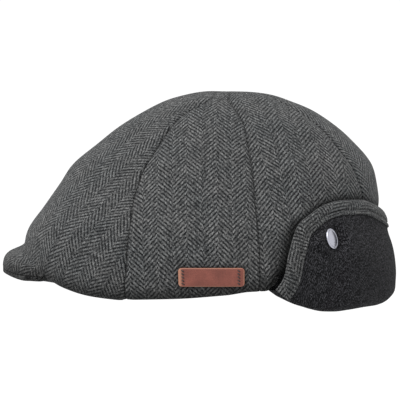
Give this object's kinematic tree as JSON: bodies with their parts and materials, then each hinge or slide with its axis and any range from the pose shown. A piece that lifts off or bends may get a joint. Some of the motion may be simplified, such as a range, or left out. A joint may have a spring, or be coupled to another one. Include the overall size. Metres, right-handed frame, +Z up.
{
  "type": "earflap cap with a short duckbill peak",
  "caption": "Herringbone wool panelled cap with a short duckbill peak, a turned-up ribbed knit ear flap with a bound edge, side snaps and a stitched leather label",
  "frame": {"origin": "centre of the head opening, where the hat sits on the head, at the height of the hem beside the ears", "axes": "+Z up through the crown, -Y forward to the peak, +X to the wearer's left"},
  "size_m": [0.185, 0.2749, 0.1514],
  "materials": {
    "herringbone_wool": "dark grey wool herringbone twill",
    "rib_knit": "charcoal fine ribbed knit",
    "label_leather": "reddish brown smooth leather",
    "snap_nickel": "polished nickel"
  },
  "bodies": {
    "root": {"panel_front": "herringbone_wool", "panel_side_left": "herringbone_wool", "panel_side_right": "herringbone_wool", "panel_rear_left": "herringbone_wool", "panel_rear_right": "herringbone_wool", "panel_back": "herringbone_wool", "peak": "herringbone_wool", "earflap": "rib_knit", "earflap_binding": "herringbone_wool", "snap_left": "snap_nickel", "snap_right": "snap_nickel", "label_patch": "label_leather"}
  },
  "joints": []
}
